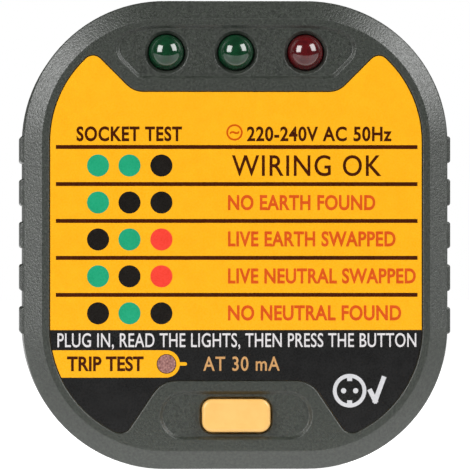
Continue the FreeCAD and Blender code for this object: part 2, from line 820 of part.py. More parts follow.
def lead_places():
    """Every lead that comes through the board: (place, lead radius, whether it is soldered at the back)."""
    places = []
    half = led_lead_pitch / 2
    for x, z in lamp_places + [trip_place]:
        places += [((x + side * half, z), led_lead_radius, True) for side in SIDES]
    half = dropper["pitch"] / 2
    for z in dropper_rows():
        places += [((side * half, z), dropper["lead"], True) for side in SIDES]
    half = diode["pitch"] / 2
    for x, z in diode_places():
        places += [((x + side * half, z), diode["lead"], True) for side in SIDES]
    places += [((side * load_pitch / 2, load_z), load_lead_radius, False) for side in SIDES]
    places += [(place, terminal_size / 2, True) for place in terminal_places()]
    places += [(place, core_radius, False) for place in wire_pads.values()]
    return places


def dropper_rows():
    """Heights of the dropper resistors under the lamps."""
    return [lamp_z - dropper_below_lamps - i * dropper_step for i in range(dropper_count)]


def diode_places():
    """Middles of the four rectifier diodes."""
    return [(side * diode_x, z) for side in SIDES for z in diode_rows]


def terminal_places():
    """The switch's four legs."""
    return [(x * terminal_x, button_z + z * terminal_z) for x, z in CORNERS]


def circuit_board():
    """Cross-shaped board that clears the four screw bosses."""
    wide = body_width / 2 - wall - board_margin
    tall = body_height / 2 - wall - board_margin
    narrow = boss_x - boss_radius - boss_clear
    low = boss_z - boss_radius - boss_clear
    quarter = [(narrow, tall, 1.5), (narrow, low, 1.5), (wide, low, 1.5)]
    corners = []
    for x_side, z_side in CORNERS:
        points = quarter if x_side * z_side < 0 else quarter[::-1]
        corners += [(x_side * x, z_side * z, radius) for x, z, radius in points]
    board = prism(corners, board_front_y, board_back_y)
    holes = [post(radius + lead_hole_gap, board_front_y - 1, board_back_y + 1, place)
             for place, radius, _ in lead_places()]
    holes += [post(board_screw["shank"] + fit_gap, board_front_y - 1, board_back_y + 1, place)
              for place in board_post_places]
    return board.cut(holes[0].multiFuse(holes[1:]))


def board_screws():
    """Two screws that hold the board on the front cover's posts."""
    return group([screw(place, board_back_y, -1, board_screw) for place in board_post_places])


def led_base_y(place):
    """Back of a light-emitting diode: in its lens's bore, or just behind the trip lamp's light pipe."""
    if place == trip_place:
        return lens_flange_y + 4 * touch_gap + led_length
    return lens_flange_y - lens_bore_depth + 6 * touch_gap + led_length


def led(place):
    """3 mm light-emitting diode without its leads."""
    base_y = led_base_y(place)
    body = dome(led_radius, base_y - led_length, base_y, place)
    flange = post(led_flange_radius, base_y - led_flange_height, base_y, place)
    return fused([body, flange])


def led_spacers():
    """Tubes that hold each diode off the board."""
    spacers = []
    for place in lamp_places + [trip_place]:
        base_y = led_base_y(place)
        spacer = post(led_spacer_radius, base_y, board_front_y, place)
        for side in SIDES:
            lead_place = (place[0] + side * led_lead_pitch / 2, place[1])
            hole = post(led_lead_radius + lead_hole_gap, base_y - 1, board_front_y + 1, lead_place)
            spacer = spacer.cut(hole)
        spacers.append(spacer)
    return group(spacers)


def led_leads():
    """Two straight leads from each diode through the board."""
    leads = []
    for place in lamp_places + [trip_place]:
        for side in SIDES:
            lead_place = (place[0] + side * led_lead_pitch / 2, place[1])
            leads.append(post(led_lead_radius, led_base_y(place), board_back_y + lead_proud, lead_place))
    return group(leads)


def axial_body(size, place):
    """Barrel of a resistor or diode that lies along X on the front of the board."""
    y = board_front_y - component_lift - size["radius"]
    start = V(place[0] - size["length"] / 2, y, place[1])
    barrel = Part.makeCylinder(size["radius"], size["length"], start, V(1, 0, 0))
    return barrel.makeFillet(size["radius"] * 0.35, [e for e in barrel.Edges if e.Closed])


def axial_leads(size, place):
    """Two bent leads from a barrel's ends through the board."""
    y = board_front_y - component_lift - size["radius"]
    leads = []
    for side in SIDES:
        start = (place[0] + side * size["length"] / 2, y, place[1])
        bend = (place[0] + side * size["pitch"] / 2, y, place[1])
        end = (bend[0], board_back_y + lead_proud, place[1])
        leads.append(bent_tube("lead", size["lead"], [start, bend, end]))
    return leads


def dropper_resistors():
    """Resistors that feed the three lamps."""
    return group([axial_body(dropper, (0.0, z)) for z in dropper_rows()])


def dropper_leads():
    """Leads of the dropper resistors."""
    return group([lead for z in dropper_rows() for lead in axial_leads(dropper, (0.0, z))])


def rectifier_diodes():
    """Four rectifier diodes, two on each side."""
    return group([axial_body(diode, place) for place in diode_places()])


def diode_leads():
    """Leads of the rectifier diodes."""
    return group([lead for place in diode_places() for lead in axial_leads(diode, place)])


def load_resistor():
    """Ceramic resistor on the back of the board that draws the trip-test current."""
    y0 = board_back_y + load_lift
    block = bar((-load_length / 2, load_length / 2), (y0, y0 + load_thickness),
                (load_z - load_thickness / 2, load_z + load_thickness / 2))
    return block.makeFillet(load_rounding, block.Edges)


def load_resistor_leads():
    """Bent leads of the load resistor."""
    y = board_back_y + load_lift + load_thickness / 2
    leads = []
    for side in SIDES:
        start = (side * load_length / 2, y, load_z)
        bend = (side * load_pitch / 2, y, load_z)
        end = (bend[0], board_front_y - lead_proud, load_z)
        leads.append(bent_tube("load lead", load_lead_radius, [start, bend, end]))
    return group(leads)


def solder_joints():
    """Cone of solder round every lead, on the side away from its component."""
    joints = []
    for place, radius, at_back in lead_places():
        if at_back:
            joint = taper(solder_radius, radius + 0.1, board_back_y, board_back_y + solder_height, place)
        else:
            joint = taper(radius + 0.1, solder_radius, board_front_y - solder_height, board_front_y, place)
        hole = post(radius, board_front_y - 2, board_back_y + 2, place)
        joints.append(joint.cut(hole))
    return group(joints)


# ---- Push switch

def switch_body():
    """Open box on the board that holds the switch's spring and contacts."""
    place = (0.0, button_z)
    top_y = switch_top_y + switch_cover_thickness
    box = rounded_block(switch_width, switch_width, switch_wall, top_y, board_front_y, place)
    inside = switch_width - 2 * switch_wall
    box = box.cut(centred_bar(inside, inside, top_y - 1, switch_floor_y, place))
    return box.cut(post(spring_radius + 3 * spring_wire, switch_floor_y - 1, spring_seat_y, place))


def switch_cover():
    """Metal plate that closes the switch round its plunger."""
    place = (0.0, button_z)
    plate_y = switch_top_y + switch_cover_thickness
    plate = rounded_block(switch_width, switch_width, switch_wall, switch_top_y, plate_y, place)
    return plate.cut(post(plunger_radius + moving_gap, switch_top_y - 1, plate_y + 1, place))


def switch_plunger():
    """Plunger that the button's stem pushes."""
    place = (0.0, button_z)
    stem = post(plunger_radius, plunger_tip_y, bridge_y, place)
    stem = stem.makeFillet(plunger_rounding, edges_at(stem, plunger_tip_y))
    return fused([stem, post(plunger_flange_radius, plunger_flange_y, bridge_y, place)])


def contact_bridge():
    """Bar under the plunger that joins the two contacts at the end of its travel."""
    place = (0.0, button_z)
    return centred_bar(bridge_length, bridge_width, bridge_y, bridge_y + bridge_thickness, place)


def switch_spring():
    """Return spring between the switch's floor and the contact bridge."""
    y0 = bridge_y + bridge_thickness + touch_gap / 5
    return coil_spring(spring_radius, spring_wire, spring_turns, y0, spring_seat_y - touch_gap / 5,
                       (0.0, button_z))


def switch_terminals():
    """Two fixed contacts and four legs through the board."""
    solids = []
    for side in SIDES:
        place = (side * contact_x, button_z)
        solids.append(centred_bar(contact_pad, bridge_width, contact_top_y, switch_floor_y, place))
    for place in terminal_places():
        solids.append(post(terminal_size / 2, switch_floor_y, board_back_y + lead_proud, place))
    return group(solids)


# ---- Wires

def wire_route(name):
    """Points along one wire's insulation, from the plug to the board."""
    pad_x, pad_z = wire_pads[name]
    end = (pad_x, board_back_y + strip_length, pad_z)
    if name == "earth":
        y = strap_front_y - tag_barrel_radius
        tag_end = tower_radius + tag_barrel_length
        return [(0, y, tag_end), (0, y, pad_z + wire_bow), (0, (y + end[1]) / 2, pad_z + 2 * wire_bow),
                (0, end[1] + 2 * strip_length, pad_z), end]
    start_y = shank_front_y - strip_length / 2
    span = end[1] - start_y
    bow = math.copysign(wire_bow, pad_x)
    bend = (pad_x + bow, start_y + span * 0.5, pad_z + wire_bow)
    return [(pad_x, start_y, 0), (pad_x, start_y + span * 0.25, 0), bend,
            (pad_x, end[1] - span * 0.25, pad_z), end]


def wire(name):
    """Insulated wire."""
    return bent_tube(f"{name} wire", wire_radius, wire_route(name))


def wire_tails():
    """Bare ends of the three wires: in the solder cups, in the tag, and through the board."""
    tails = []
    for name, place in wire_pads.items():
        tails.append(post(core_radius, board_front_y - lead_proud, board_back_y + strip_length, place))
    for side in SIDES:
        place = (side * pin_x, 0.0)
        start_y = shank_front_y - strip_length / 2
        tails.append(post(solder_cup_radius - touch_gap, start_y, shank_front_y + solder_cup_depth, place))
    base = V(0, strap_front_y - tag_barrel_radius, tower_radius + 0.5)
    tails.append(Part.makeCylinder(wire_radius - touch_gap, tag_barrel_length - 0.5, base, V(0, 0, 1)))
    return group(tails)


PIECES = {
    "front_cover": front_cover,
    "rear_cover": rear_cover,
    "plug_nose": plug_nose,
    "nose_retainer": nose_retainer,
    "nose_screws": nose_screws,
    "face_label": face_label,
    "left_lens": lambda: lens(lamp_places[0]),
    "middle_lens": lambda: lens(lamp_places[1]),
    "right_lens": lambda: lens(lamp_places[2]),
    "trip_lens": trip_lens,
    "test_button": test_button,
    "housing_screws": housing_screws,
    "live_pin": lambda: pin(1),
    "neutral_pin": lambda: pin(-1),
    "pin_clamp": pin_clamp,
    "clamp_screws": clamp_screws,
    "earth_strap": earth_strap,
    "earth_tag": earth_tag,
    "earth_screw": earth_screw,
    "circuit_board": circuit_board,
    "board_screws": board_screws,
    "left_led": lambda: led(lamp_places[0]),
    "middle_led": lambda: led(lamp_places[1]),
    "right_led": lambda: led(lamp_places[2]),
    "trip_led": lambda: led(trip_place),
    "led_spacers": led_spacers,
    "led_leads": led_leads,
    "dropper_resistors": dropper_resistors,
    "dropper_leads": dropper_leads,
    "rectifier_diodes": rectifier_diodes,
    "diode_leads": diode_leads,
    "load_resistor": load_resistor,
    "load_resistor_leads": load_resistor_leads,
    "solder_joints": solder_joints,
    "switch_body": switch_body,
    "switch_cover": switch_cover,
    "switch_plunger": switch_plunger,
    "contact_bridge": contact_bridge,
    "switch_spring": switch_spring,
    "switch_terminals": switch_terminals,
    "live_wire": lambda: wire("live"),
    "neutral_wire": lambda: wire("neutral"),
    "earth_wire": lambda: wire("earth"),
    "wire_tails": wire_tails,
}

os.makedirs("parts", exist_ok=True)
for name, build in PIECES.items():
    shape = build()
    if not shape.isValid() or not shape.Solids:
        raise RuntimeError(f"{name} is not a sound solid")
    print(f"{name}: {len(shape.Solids)} solid(s), {shape.Volume:.1f} mm3")
    shape.exportStep(f"parts/{name}.step")
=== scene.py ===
import math

import bpy
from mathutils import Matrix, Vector


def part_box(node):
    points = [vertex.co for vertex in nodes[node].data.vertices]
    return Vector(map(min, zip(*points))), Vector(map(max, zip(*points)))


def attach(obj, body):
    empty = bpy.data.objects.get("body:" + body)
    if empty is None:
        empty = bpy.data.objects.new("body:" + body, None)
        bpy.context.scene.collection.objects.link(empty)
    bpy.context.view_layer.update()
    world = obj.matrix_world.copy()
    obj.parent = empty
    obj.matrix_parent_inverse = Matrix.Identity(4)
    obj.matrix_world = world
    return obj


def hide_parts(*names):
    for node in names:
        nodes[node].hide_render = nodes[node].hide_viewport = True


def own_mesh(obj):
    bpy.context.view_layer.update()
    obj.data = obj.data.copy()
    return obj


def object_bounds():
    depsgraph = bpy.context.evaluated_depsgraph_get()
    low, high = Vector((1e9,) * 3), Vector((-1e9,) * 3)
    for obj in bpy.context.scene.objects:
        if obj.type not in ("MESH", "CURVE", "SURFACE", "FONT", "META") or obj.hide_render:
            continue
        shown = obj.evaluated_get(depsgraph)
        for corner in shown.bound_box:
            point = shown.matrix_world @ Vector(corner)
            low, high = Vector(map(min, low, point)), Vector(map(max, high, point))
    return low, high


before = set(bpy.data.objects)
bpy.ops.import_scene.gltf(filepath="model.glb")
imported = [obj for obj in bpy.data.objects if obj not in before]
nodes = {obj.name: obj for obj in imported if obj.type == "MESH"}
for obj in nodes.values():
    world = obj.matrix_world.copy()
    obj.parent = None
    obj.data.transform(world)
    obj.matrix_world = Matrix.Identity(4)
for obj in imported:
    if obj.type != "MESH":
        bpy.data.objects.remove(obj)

# Outlet tester plug: finishes, the printing on the face label, the switch's spring, and the studio.
# X is to the user's right, Y points out of the back along the pins, Z is up.
# Lengths in the tables below are in millimetres.

cad_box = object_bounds()
MM = 0.001


# ---- Materials

def linear(colour):
    """Linear RGBA of an sRGB hex colour, fully opaque."""
    levels = [int(colour[i:i + 2], 16) / 255 for i in (1, 3, 5)]
    channels = [c / 12.92 if c <= 0.04045 else ((c + 0.055) / 1.055) ** 2.4 for c in levels]
    return channels + [1.0]


def add(tree, kind, settings=None, links=None):
    """A new shader node with its properties or inputs set, and its inputs linked."""
    node = tree.nodes.new("ShaderNode" + kind)
    for name, value in (settings or {}).items():
        if isinstance(name, int) or name in node.inputs:
            node.inputs[name].default_value = value
        else:
            setattr(node, name, value)
    for name, socket in (links or {}).items():
        tree.links.new(socket, node.inputs[name])
    return node


def finish(name, colours, patch, roughness, grain, depth, stretch=None, edge=None, **shader):
    """A material with patches between two colours, and a relief of fine grain.

    patch and grain are the sizes of the patches and of the grain, depth is the relief's height,
    and roughness is its lowest and highest value. stretch draws the patterns out along an axis,
    and edge is the radius to which the tool's worn corners round every edge.
    """
    material = bpy.data.materials.new(name)
    material.use_nodes = True
    tree = material.node_tree
    tree.nodes.clear()
    place = add(tree, "TexCoord").outputs["Object"]
    if stretch:
        place = add(tree, "Mapping", {"Scale": stretch}, {"Vector": place}).outputs["Vector"]
    patches = add(tree, "TexNoise", {"Scale": 1 / (patch * MM), "Detail": 4.0}, {"Vector": place})
    grains = add(tree, "TexNoise", {"Scale": 1 / (grain * MM), "Detail": 2.0}, {"Vector": place})
    # A noise rarely leaves the middle of its range, so each is spread out before it is used.
    spread = add(tree, "MapRange", {"From Min": 0.35, "From Max": 0.65},
                 {"Value": patches.outputs["Fac"]})
    # On a colour mix, input 0 is the share and inputs 6 and 7 are the two colours.
    tone = add(tree, "Mix", {"data_type": "RGBA", 6: linear(colours[0]), 7: linear(colours[1])},
               {0: spread.outputs["Result"]})
    gloss = add(tree, "MapRange", {"From Min": 0.3, "From Max": 0.7, "To Min": roughness[0],
                                   "To Max": roughness[1]}, {"Value": grains.outputs["Fac"]})
    relief = add(tree, "Bump", {"Distance": depth * MM}, {"Height": grains.outputs["Fac"]})
    if edge:
        rounding = add(tree, "Bevel", {"samples": 6, "Radius": edge * MM})
        tree.links.new(rounding.outputs["Normal"], relief.inputs["Normal"])
    surface = add(tree, "BsdfPrincipled", shader,
                  {"Base Color": tone.outputs[2], "Roughness": gloss.outputs["Result"],
                   "Normal": relief.outputs["Normal"]})
    add(tree, "OutputMaterial", None, {"Surface": surface.outputs["BSDF"]})
    return material


def printed(name, colour, shade):
    """Ink screen-printed on polyester film: even colour under the film's satin sheen."""
    return finish(name, (colour, shade), 2.5, (0.24, 0.32), 0.35, 0.0015,
                  **{"IOR": 1.5, "Specular IOR Level": 0.3})


# Acrylonitrile butadiene styrene, moulded in a spark-eroded tool: a dull sheen broken up by
# grain. The real grain is about 0.1 mm, drawn coarser so that it shows.
housing_plastic = finish("spark_eroded_abs", ("#1f231e", "#31362f"), 0.4, (0.32, 0.5), 0.3, 0.06,
                         edge=0.2, **{"IOR": 1.54, "Specular IOR Level": 0.75})
# Nylon with flame retardant, moulded in a plain tool: smoother and a little darker.
nose_plastic = finish("moulded_nylon", ("#262a27", "#2c302c"), 3.0, (0.34, 0.46), 0.5, 0.006,
                      IOR=1.53)
# Polyester film, printed amber: satin, with a faint orange peel.
amber_film = printed("amber_film", "#e6a215", "#eaa618")
# Screen-printing inks on the same film: even colour, with the film's satin sheen.
charcoal_ink = printed("charcoal_ink", "#161616", "#1c1c1c")
green_ink = printed("green_ink", "#1c9369", "#20986f")
black_ink = printed("black_ink", "#15120f", "#1a1714")
red_ink = printed("red_ink", "#dc3a2d", "#e03f31")
brown_ink = printed("brown_ink", "#391200", "#401500")
orange_ink = printed("orange_ink", "#c34a14", "#c94f18")
rust_ink = printed("rust_ink", "#b84a00", "#c05000")
white_ink = printed("white_ink", "#c9c6c7", "#cdcacb")
tan_ink = printed("tan_ink", "#b78a58", "#bd905e")
grey_ink = printed("grey_ink", "#bdbdc0", "#c1c1c4")
# Acrylic, moulded and polished: dark in the body, with a hard clear surface.
clear_skin = {"IOR": 1.49, "Coat Weight": 1.0, "Coat IOR": 1.49, "Coat Roughness": 0.11}
green_lens = finish("polished_green_acrylic", ("#032c17", "#07391f"), 1.2, (0.1, 0.13), 2.5, 0.002,
                    **clear_skin)
red_lens = finish("polished_red_acrylic", ("#42060b", "#550a0f"), 1.2, (0.1, 0.13), 2.5, 0.002,
                  **clear_skin)
# Acrylic with a frosted face: cloudy, with lilac and pink specks.
trip_window = finish("frosted_acrylic", ("#5f3533", "#a87b74"), 0.33, (0.45, 0.6), 0.3, 0.02,
                     IOR=1.49)
# Acrylonitrile butadiene styrene, moulded pale orange with a satin face.
button_plastic = finish("satin_orange_abs", ("#dfae60", "#e3b366"), 1.5, (0.28, 0.36), 0.5, 0.003,
                        IOR=1.54)
# Steel with a bright zinc plating: grey with a cool cast, slightly mottled.
zinc_steel = finish("zinc_plated_steel", ("#a3a5a4", "#bcbebf"), 0.8, (0.25, 0.4), 0.2, 0.002,
                    Metallic=1.0)
# Brass turned on a lathe and nickel-plated: bright, with fine rings across the pin.
nickel_pin = finish("nickel_plated_brass", ("#b9b4a9", "#cbc7bd"), 2.0, (0.16, 0.26), 0.12, 0.0012,
                    stretch=(0.15, 1, 0.15), Metallic=1.0)
# Nylon filled with glass: black, with pale fibres under the skin.
clamp_plastic = finish("glass_filled_nylon", ("#151515", "#232323"), 0.5, (0.4, 0.6), 0.3, 0.006,
                       IOR=1.53)
# Brass strip, rolled and nickel-plated: soft streaks along the strip.
earth_brass = finish("rolled_plated_brass", ("#b39a63", "#c4ad78"), 0.5, (0.22, 0.36), 0.15, 0.0012,
                     stretch=(1, 0.1, 1), Metallic=1.0)
# Glass laminate under green solder mask: glossy, with a weave that shows faintly.
board_laminate = finish("green_solder_mask", ("#0c4a24", "#135c2e"), 1.6, (0.2, 0.3), 0.5, 0.004,
                        IOR=1.55)
# Epoxy, cast and tinted: clear gloss.
green_led = finish("green_cast_epoxy", ("#1f8f45", "#2aa455"), 1.0, (0.05, 0.1), 1.0, 0.001,
                   IOR=1.55)
red_led = finish("red_cast_epoxy", ("#a01c1c", "#b82626"), 1.0, (0.05, 0.1), 1.0, 0.001, IOR=1.55)
# Natural nylon: milky and waxy.
spacer_nylon = finish("natural_nylon", ("#cfc9b8", "#dcd7c8"), 1.0, (0.35, 0.5), 0.4, 0.003,
                      IOR=1.53)
# Copper wire, drawn and tinned: bright, with draw marks along it.
tinned_lead = finish("tinned_copper_wire", ("#b4b5b6", "#c8c9ca"), 0.4, (0.2, 0.35), 0.1, 0.0008,
                     Metallic=1.0)
# Lacquer on a resistor, dipped: thick gloss with a slight sag.
resistor_lacquer = finish("dipped_blue_lacquer", ("#2f6f93", "#3a7da2"), 1.2, (0.12, 0.2), 0.8,
                          0.006, IOR=1.5)
# Epoxy moulded round a diode: black and slightly dull.
diode_epoxy = finish("moulded_black_epoxy", ("#141414", "#1e1e1e"), 0.6, (0.35, 0.5), 0.25, 0.004,
                     IOR=1.55)
# Ceramic case, pressed and fired: chalky, with pits.
cement_ceramic = finish("fired_ceramic", ("#d6d3ca", "#e4e1d9"), 0.9, (0.65, 0.85), 0.3, 0.02,
                        IOR=1.6)
# Tin alloy that set as it cooled: bright, softly rippled.
solder = finish("set_solder", ("#a9abad", "#c3c4c6"), 0.5, (0.15, 0.3), 0.3, 0.004, Metallic=1.0)
# Phenolic, moulded: black with a hard dull face.
switch_plastic = finish("moulded_phenolic", ("#161513", "#211f1c"), 0.7, (0.4, 0.55), 0.3, 0.005,
                        IOR=1.6)
# Steel plate, blanked and plated: grey with a rolled grain.
switch_steel = finish("plated_steel_plate", ("#9a9b9b", "#b1b2b2"), 0.6, (0.28, 0.42), 0.15, 0.0015,
                      stretch=(0.1, 1, 1), Metallic=1.0)
# Nylon, moulded red.
plunger_plastic = finish("moulded_red_nylon", ("#7c1414", "#8e1b1b"), 0.8, (0.3, 0.45), 0.4, 0.003,
                         IOR=1.53)
# Brass with a thin silver plating on the contact faces.
contact_brass = finish("silvered_brass", ("#c3b48c", "#d2c6a2"), 0.4, (0.2, 0.3), 0.15, 0.001,
                       Metallic=1.0)
# Spring steel wire, hard drawn and oiled.
spring_steel = finish("hard_drawn_wire", ("#7d7f82", "#94969a"), 0.3, (0.22, 0.35), 0.1, 0.0008,
                      Metallic=1.0)
# Polyvinyl chloride, extruded on wire: soft sheen.
brown_insulation = finish("brown_pvc", ("#4a2a17", "#56331d"), 1.2, (0.3, 0.4), 0.5, 0.003,
                          IOR=1.54)
blue_insulation = finish("blue_pvc", ("#174f9e", "#1f5bae"), 1.2, (0.3, 0.4), 0.5, 0.003, IOR=1.54)
earth_insulation = finish("green_yellow_pvc", ("#2f8f2e", "#d8cf22"), 1.6, (0.3, 0.4), 0.5, 0.003,
                          stretch=(1, 0.12, 1), IOR=1.54)
# Copper strands, tinned at the joint.
bare_copper = finish("bare_copper_strand", ("#b8744f", "#cf8d66"), 0.25, (0.25, 0.4), 0.12, 0.003,
                     Metallic=1.0)

node_finishes = {
    housing_plastic: ["front_cover", "rear_cover"],
    nose_plastic: ["plug_nose"],
    amber_film: ["face_label"],
    green_lens: ["left_lens", "middle_lens"],
    red_lens: ["right_lens"],
    trip_window: ["trip_lens"],
    button_plastic: ["test_button"],
    zinc_steel: ["nose_screws", "housing_screws", "clamp_screws", "earth_screw", "board_screws"],
    nickel_pin: ["live_pin", "neutral_pin"],
    clamp_plastic: ["nose_retainer", "pin_clamp"],
    earth_brass: ["earth_strap", "earth_tag"],
    board_laminate: ["circuit_board"],
    green_led: ["left_led", "middle_led"],
    red_led: ["right_led", "trip_led"],
    spacer_nylon: ["led_spacers"],
    tinned_lead: ["led_leads", "dropper_leads", "diode_leads", "load_resistor_leads",
                  "switch_terminals"],
    resistor_lacquer: ["dropper_resistors"],
    diode_epoxy: ["rectifier_diodes"],
    cement_ceramic: ["load_resistor"],
    solder: ["solder_joints"],
    switch_plastic: ["switch_body"],
    switch_steel: ["switch_cover"],
    plunger_plastic: ["switch_plunger"],
    contact_brass: ["contact_bridge"],
    spring_steel: ["switch_spring"],
    brown_insulation: ["live_wire"],
    blue_insulation: ["neutral_wire"],
    earth_insulation: ["earth_wire"],
    bare_copper: ["wire_tails"],
}
for material, names in node_finishes.items():
    for name in names:
        for slot in nodes[name].material_slots:
            slot.material = material


# ---- Printing on the label

label_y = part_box("face_label")[0].y / MM
ink_height = 0.012
ink_softening = 0.004
merge_distance = 0.001 * MM


def select_only(piece):
    """Makes a piece the one that operators act on."""
    bpy.ops.object.select_all(action="DESELECT")
    piece.select_set(True)
    bpy.context.view_layer.objects.active = piece


def apply_modifier(piece, kind, **settings):
    """Adds a modifier to a piece and applies it."""
    select_only(piece)
    modifier = piece.modifiers.new(kind.title(), kind)
    for name, value in settings.items():
        setattr(modifier, name, value)
    bpy.ops.object.modifier_apply(modifier=modifier.name)


def settle(piece):
    """Puts a piece's place, turn and scale in its mesh."""
    select_only(piece)
    bpy.ops.object.transform_apply(location=True, rotation=True, scale=True)


def publish(piece, ink):
    """Gives a print its ink and fixes it to the housing's label."""
    piece.data.materials.clear()
    piece.data.materials.append(ink)
    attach(piece, "housing")


def copy_to(piece, name, dx, dz):
    """A copy of a print, with its own mesh, moved across the face."""
    twin = bpy.data.objects.new(name, piece.data.copy())
    bpy.context.scene.collection.objects.link(twin)
    twin.location = (dx * MM, 0, dz * MM)
    settle(twin)
    return twin


def join(pieces, name):
    """Joins prints of one ink into one piece."""
    select_only(pieces[0])
    for piece in pieces:
        piece.select_set(True)
    bpy.ops.object.join()
    pieces[0].name = name
    return pieces[0]


def on_label(place, layer):
    """Where the middle of a print lies whose (x, z) place and layer are given."""
    return (place[0] * MM, (label_y - layer / 2) * MM, place[1] * MM)


def soften(piece, name):
    """Names a new print, settles it and rounds its edges."""
    piece.name = name
    settle(piece)
    apply_modifier(piece, "BEVEL", width=ink_softening * MM, segments=2, limit_method="ANGLE")
    return piece


def disc(name, radius, place, layer, sides=64):
    """Round print with a softened edge."""
    bpy.ops.mesh.primitive_cylinder_add(vertices=sides, radius=radius * MM, depth=layer * MM,
                                        location=on_label(place, layer),
                                        rotation=(math.pi / 2, 0, 0))
    return soften(bpy.context.active_object, name)


def block(name, size, place, layer):
    """Rectangular print with softened edges and corners."""
    bpy.ops.mesh.primitive_cube_add(size=1, location=on_label(place, layer))
    piece = bpy.context.active_object
    piece.scale = (size[0] * MM, layer * MM, size[1] * MM)
    return soften(piece, name)


def stadium(name, radius, centre, reach, layer):
    """Round-ended print: a disc whose left half is drawn out to the left."""
    piece = disc(name, radius, centre, layer)
    middle = centre[0] - 0.01
    select_only(piece)
    bpy.ops.object.mode_set(mode="EDIT")
    bpy.ops.mesh.select_mode(type="VERT")
    bpy.ops.mesh.select_all(action="DESELECT")
    bpy.ops.object.mode_set(mode="OBJECT")
    for vertex in piece.data.vertices:
        vertex.select = vertex.co.x < middle * MM
    bpy.ops.object.mode_set(mode="EDIT")
    bpy.ops.transform.translate(value=(-reach * MM, 0, 0))
    bpy.ops.object.mode_set(mode="OBJECT")
    return piece


def film(name):
    """A thin copy of the label's printed side, with the label's own outline."""
    piece = bpy.data.objects.new(name, nodes["face_label"].data.copy())
    bpy.context.scene.collection.objects.link(piece)
    select_only(piece)
    bpy.ops.object.mode_set(mode="EDIT")
    bpy.ops.mesh.select_all(action="SELECT")
    bpy.ops.mesh.remove_doubles(threshold=merge_distance)
    bpy.ops.mesh.select_mode(type="FACE")
    bpy.ops.mesh.select_all(action="DESELECT")
    bpy.ops.object.mode_set(mode="OBJECT")
    for face in piece.data.polygons:
        towards_user = face.normal.y < -0.99
        face.select = not towards_user
    bpy.ops.object.mode_set(mode="EDIT")
    bpy.ops.mesh.delete(type="FACE")
    bpy.ops.mesh.select_all(action="SELECT")
    bpy.ops.mesh.dissolve_limited(angle_limit=math.radians(0.5))
    bpy.ops.object.mode_set(mode="OBJECT")
    return piece


def cut_off(piece, z, keep_below):
    """Cuts a print along a level line and keeps the part below or above it."""
    select_only(piece)
    bpy.ops.object.mode_set(mode="EDIT")
    bpy.ops.mesh.select_all(action="SELECT")
    bpy.ops.mesh.bisect(plane_co=(0, 0, z * MM), plane_no=(0, 0, 1), clear_outer=keep_below,
                        clear_inner=not keep_below)
    bpy.ops.object.mode_set(mode="OBJECT")


def words(name, text, line, capitals, ink, layer, weight, spacing=1.0):
    """Lettering between the line's left and right, on its baseline.

    capitals is the height of the capitals, weight thickens the strokes, and spacing sets the
    letters apart.
    """
    left, right, baseline = line
    bpy.ops.object.text_add(rotation=(math.pi / 2, 0, 0))
    piece = bpy.context.active_object
    piece.name = name
    piece.data.body = text
    piece.data.offset = weight
    piece.data.space_character = spacing
    piece.data.resolution_u = 5
    piece.data.extrude = 0.5
    select_only(piece)
    bpy.ops.object.convert(target="MESH")
    piece = bpy.context.active_object
    xs = [vertex.co.x for vertex in piece.data.vertices]
    wide = (right - left) / (max(xs) - min(xs))
    tall = capitals / font_capitals
    piece.scale = (wide * MM, tall * MM, layer * MM)
    piece.location = on_label((left - min(xs) * wide, baseline), layer)
    settle(piece)
    publish(piece, ink)


def letter_height():
    """Height of the font's capitals at size 1."""
    bpy.ops.object.text_add()
    sample = bpy.context.active_object
    sample.data.body = "H"
    select_only(sample)
    bpy.ops.object.convert(target="MESH")
    sample = bpy.context.active_object
    height = max(vertex.co.y for vertex in sample.data.vertices)
    bpy.data.objects.remove(sample)
    return height


font_capitals = letter_height()

# Charcoal lower field, printed to the label's edge
field_top = -15.0
field = film("charcoal_field")
cut_off(field, field_top, keep_below=True)
apply_modifier(field, "SOLIDIFY", thickness=ink_height * MM, offset=1)
publish(field, charcoal_ink)

# Amber tab round the trip-test lamp
tab_layer = 2 * ink_height
tab_centre = (-11.05, -20.35)
tab_radius = 2.16
pointer_tip = (-8.03, -20.35)
pointer_radius = 0.27
past_label = 30
into_tab = 2.5
cutter_layer = 6 * tab_layer
tab = film("trip_test_tab")
apply_modifier(tab, "SOLIDIFY", thickness=tab_layer * MM, offset=1)
outline = stadium("tab_outline", tab_radius, tab_centre, past_label, cutter_layer)
pointer = stadium("tab_pointer", pointer_radius, pointer_tip, into_tab, cutter_layer)
apply_modifier(outline, "BOOLEAN", operation="UNION", object=pointer, solver="EXACT")
apply_modifier(tab, "BOOLEAN", operation="INTERSECT", object=outline, solver="EXACT")
bpy.data.objects.remove(outline)
bpy.data.objects.remove(pointer)
publish(tab, amber_film)

# Chart of what each light pattern means: G green, R red, K dark
dot_radius = 1.74
dot_columns = (-21.8, -16.84, -11.8)
dot_rows = ((10.97, "GGK"), (5.13, "GKK"), (-0.70, "KGR"), (-6.52, "GKR"), (-12.36, "KGK"))
dot_inks = {"G": ("chart_green_dots", green_ink), "K": ("chart_dark_dots", black_ink),
            "R": ("chart_red_dots", red_ink)}
first_dot = disc("first_dot", dot_radius, (0, 0), ink_height)
for key, (name, ink) in dot_inks.items():
    dots = [copy_to(first_dot, name, x, z) for z, row in dot_rows
            for x, lamp in zip(dot_columns, row) if lamp == key]
    publish(join(dots, name), ink)
bpy.data.objects.remove(first_dot)

rule_size = (57.15, 0.62)
rule_middle = 0.12
rule_rows = (13.89, 8.04, 2.22, -3.61, -9.45)
first_rule = block("first_rule", rule_size, (rule_middle, 0), ink_height)
rules = [copy_to(first_rule, "chart_rules", 0, z) for z in rule_rows]
bpy.data.objects.remove(first_rule)
publish(join(rules, "chart_rules"), brown_ink)

